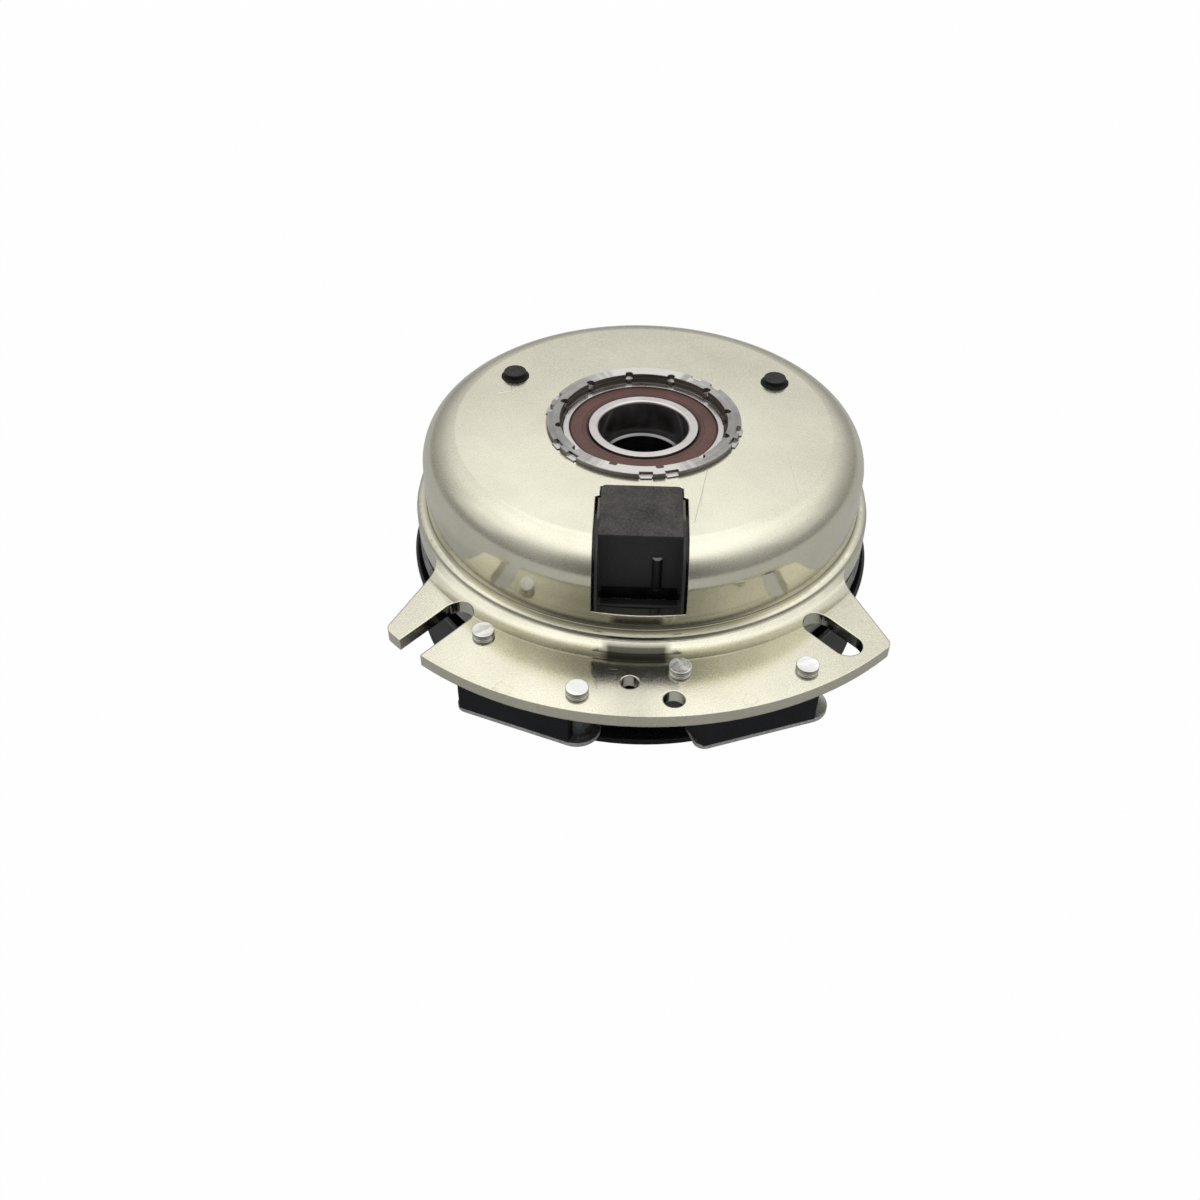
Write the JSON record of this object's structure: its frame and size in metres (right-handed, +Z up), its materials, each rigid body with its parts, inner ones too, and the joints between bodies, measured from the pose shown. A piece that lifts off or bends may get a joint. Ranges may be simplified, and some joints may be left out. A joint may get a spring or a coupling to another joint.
{
  "type": "electric pto clutch",
  "caption": "Electromagnetic clutch with a permanent magnet brake that couples a keyed crank shaft to a V-belt pulley, under a drawn field shell with a slotted flange and a recessed connector.",
  "frame": {"origin": "on the crank axis, in the plane the clutch stands on, where the crank bore opens in the end of the rotor hub", "axes": "+Z up along the crank axis, from the pulley to the field shell; -Y toward the middle of the flange and the connector"},
  "size_m": [0.16, 0.186, 0.0743],
  "materials": {
    "zinc": "yellowish zinc plating, satin",
    "pole_steel": "turned and bright",
    "bearing_steel": "ground",
    "ball_steel": "polished",
    "seal": "moulded, reddish brown",
    "cage": "pressed",
    "bobbin": "moulded",
    "winding": "enamelled copper wire",
    "potting": "cast resin, black",
    "connector": "moulded, grained top",
    "terminal": "tinned",
    "plug": "moulded, matte black",
    "block": "moulded, satin black",
    "brake_steel": "ground, light grey",
    "spacer": "dark grey",
    "rivet": "pale zinc plating",
    "rotor_steel": "machined",
    "friction": "pressed friction material",
    "armature_steel": "ground",
    "spring_steel": "hardened, bluish",
    "pulley_paint": "black paint",
    "pulley_hub_steel": "black paint",
    "snap_ring": "phosphated"
  },
  "bodies": {
    "field": {"field_shell": "zinc", "bearing_hub": "pole_steel", "coil_bobbin": "bobbin", "coil_winding": "winding", "coil_potting": "potting", "connector_housing": "connector", "terminal_pins": "terminal", "shell_plugs": "plug", "field_bearing_outer_ring": "bearing_steel", "field_bearing_seals": "seal", "brake_block_left": "block", "brake_block_right": "block", "brake_plate_left": "brake_steel", "brake_plate_right": "brake_steel", "brake_spacers": "spacer", "brake_rivets": "rivet"},
    "rotor": {"rotor_disc": "rotor_steel", "rotor_hub": "rotor_steel", "rotor_friction_ring": "friction", "field_bearing_inner_ring": "bearing_steel", "pulley_bearing_inner_ring": "bearing_steel"},
    "field_cage": {"field_bearing_balls": "ball_steel", "field_bearing_cage": "cage"},
    "pulley_cage": {"pulley_bearing_balls": "ball_steel", "pulley_bearing_cage": "cage"},
    "pulley": {"pulley_upper_half": "pulley_paint", "pulley_lower_half": "pulley_paint", "pulley_hub": "pulley_hub_steel", "pulley_bearing_outer_ring": "bearing_steel", "pulley_bearing_seals": "seal", "pulley_snap_ring": "snap_ring", "hub_rivets": "rivet", "pulley_spring_rivets": "rivet", "leaf_springs": "spring_steel"},
    "armature": {"armature_plate": "armature_steel", "armature_spring_rivets": "rivet", "spring_spacers": "spacer"}
  },
  "joints": [
    {"name": "rotor_spin", "type": "hinge", "parent": "field", "child": "rotor", "pos_m": [0, 0, 0.064], "axis": [0, 0, 1], "continuous": true},
    {"name": "pulley_spin", "type": "hinge", "parent": "rotor", "child": "pulley", "pos_m": [0, 0, 0.0116], "axis": [0, 0, 1], "continuous": true},
    {"name": "armature_slide", "type": "slide", "parent": "pulley", "child": "armature", "axis": [0, 0, 1], "range_m": [0, 0.0004], "stiffness_N_per_m": 20000, "deforming": ["leaf_springs"]},
    {"name": "field_cage_spin", "type": "hinge", "parent": "field", "child": "field_cage", "pos_m": [0, 0, 0.064], "axis": [0, 0, 1], "continuous": true},
    {"name": "pulley_cage_spin", "type": "hinge", "parent": "rotor", "child": "pulley_cage", "pos_m": [0, 0, 0.0116], "axis": [0, 0, 1], "continuous": true}
  ],
  "couplings": [
    {"joint": "field_cage_spin", "follows": "rotor_spin", "ratio": 0.416},
    {"joint": "pulley_cage_spin", "follows": "pulley_spin", "ratio": 0.5818}
  ]
}
